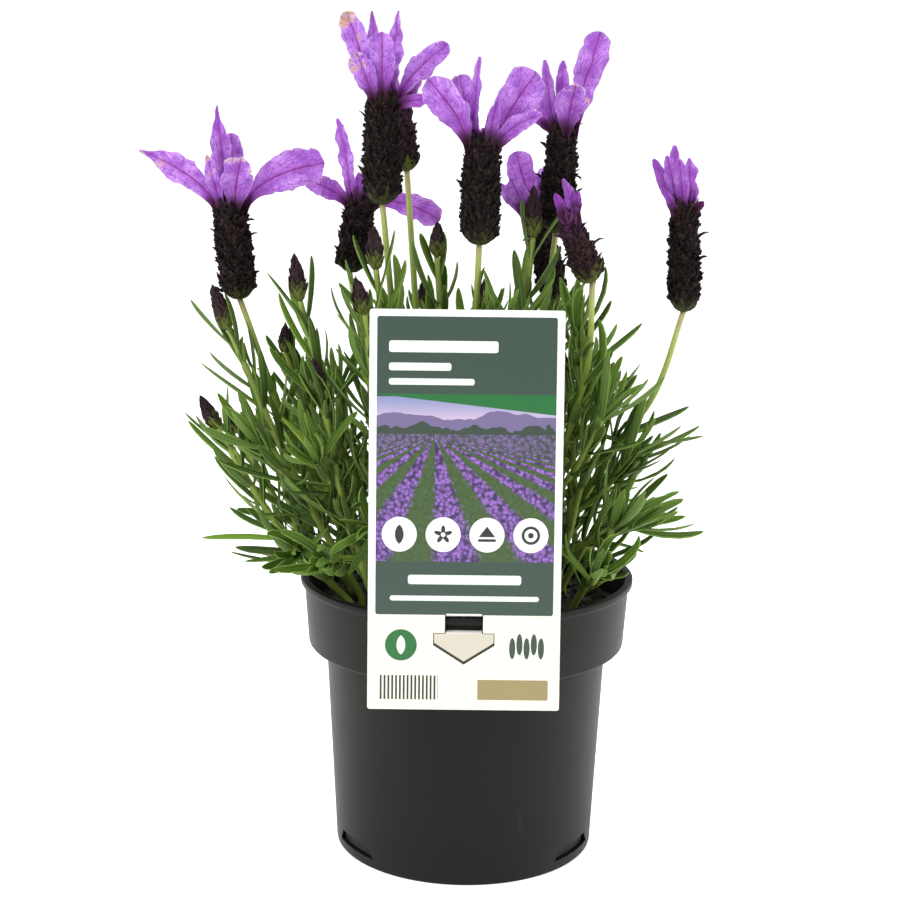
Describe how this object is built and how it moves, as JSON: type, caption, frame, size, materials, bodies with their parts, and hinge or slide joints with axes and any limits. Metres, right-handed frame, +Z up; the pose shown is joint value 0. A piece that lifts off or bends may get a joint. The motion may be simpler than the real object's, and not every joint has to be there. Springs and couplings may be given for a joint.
{
  "type": "potted lavender",
  "caption": "Crested lavender plant in a round nursery pot, with leafy stems, dark scaly flower heads under violet petals, and a printed care card hooked over the rim.",
  "frame": {"origin": "centre of the pot's foot, on the surface it stands on", "axes": "+Z up out of the pot, -Y towards the front, where the card hangs, +X to the right seen from the front"},
  "size_m": [0.2336, 0.1818, 0.352],
  "materials": {
    "pot_plastic": "dark charcoal moulded plastic, satin outside",
    "potting_mix": "damp bark chips and peat, nearly black",
    "label_card": "printed plastic card, semi-gloss",
    "spike_scales": "dark brown-purple papery scales",
    "crest_petals": "thin crumpled light violet petals with darker veins",
    "bud_scales": "dull purple bracts, green at the foot, finely hairy",
    "foliage": "soft grey-green narrow leaves with paler midribs, finely hairy"
  },
  "bodies": {
    "root": {"pot": "pot_plastic", "potting_mix": "potting_mix", "label": "label_card", "spike_1": "spike_scales", "spike_2": "spike_scales", "spike_3": "spike_scales", "spike_4": "spike_scales", "spike_5": "spike_scales", "spike_6": "spike_scales", "spike_7": "spike_scales", "spike_8": "spike_scales", "spike_9": "spike_scales", "crest_1": "crest_petals", "crest_2": "crest_petals", "crest_3": "crest_petals", "crest_4": "crest_petals", "crest_5": "crest_petals", "crest_6": "crest_petals", "crest_7": "crest_petals", "crest_8": "crest_petals", "crest_9": "crest_petals", "bud_1": "bud_scales", "bud_2": "bud_scales", "bud_3": "bud_scales", "bud_4": "bud_scales", "bud_5": "bud_scales", "bud_6": "bud_scales", "bud_7": "bud_scales", "bud_8": "bud_scales", "bud_9": "bud_scales", "bud_10": "bud_scales", "bud_11": "bud_scales", "bud_12": "bud_scales", "shoot_1": "foliage", "shoot_2": "foliage", "shoot_3": "foliage", "shoot_4": "foliage", "shoot_5": "foliage", "shoot_6": "foliage", "shoot_7": "foliage", "shoot_8": "foliage", "shoot_9": "foliage", "shoot_10": "foliage", "shoot_11": "foliage", "shoot_12": "foliage", "shoot_13": "foliage", "shoot_14": "foliage", "shoot_15": "foliage", "shoot_16": "foliage", "shoot_17": "foliage", "shoot_18": "foliage", "shoot_19": "foliage", "shoot_20": "foliage", "shoot_21": "foliage", "shoot_22": "foliage", "shoot_23": "foliage", "shoot_24": "foliage", "shoot_25": "foliage", "shoot_26": "foliage", "shoot_27": "foliage"}
  },
  "joints": []
}
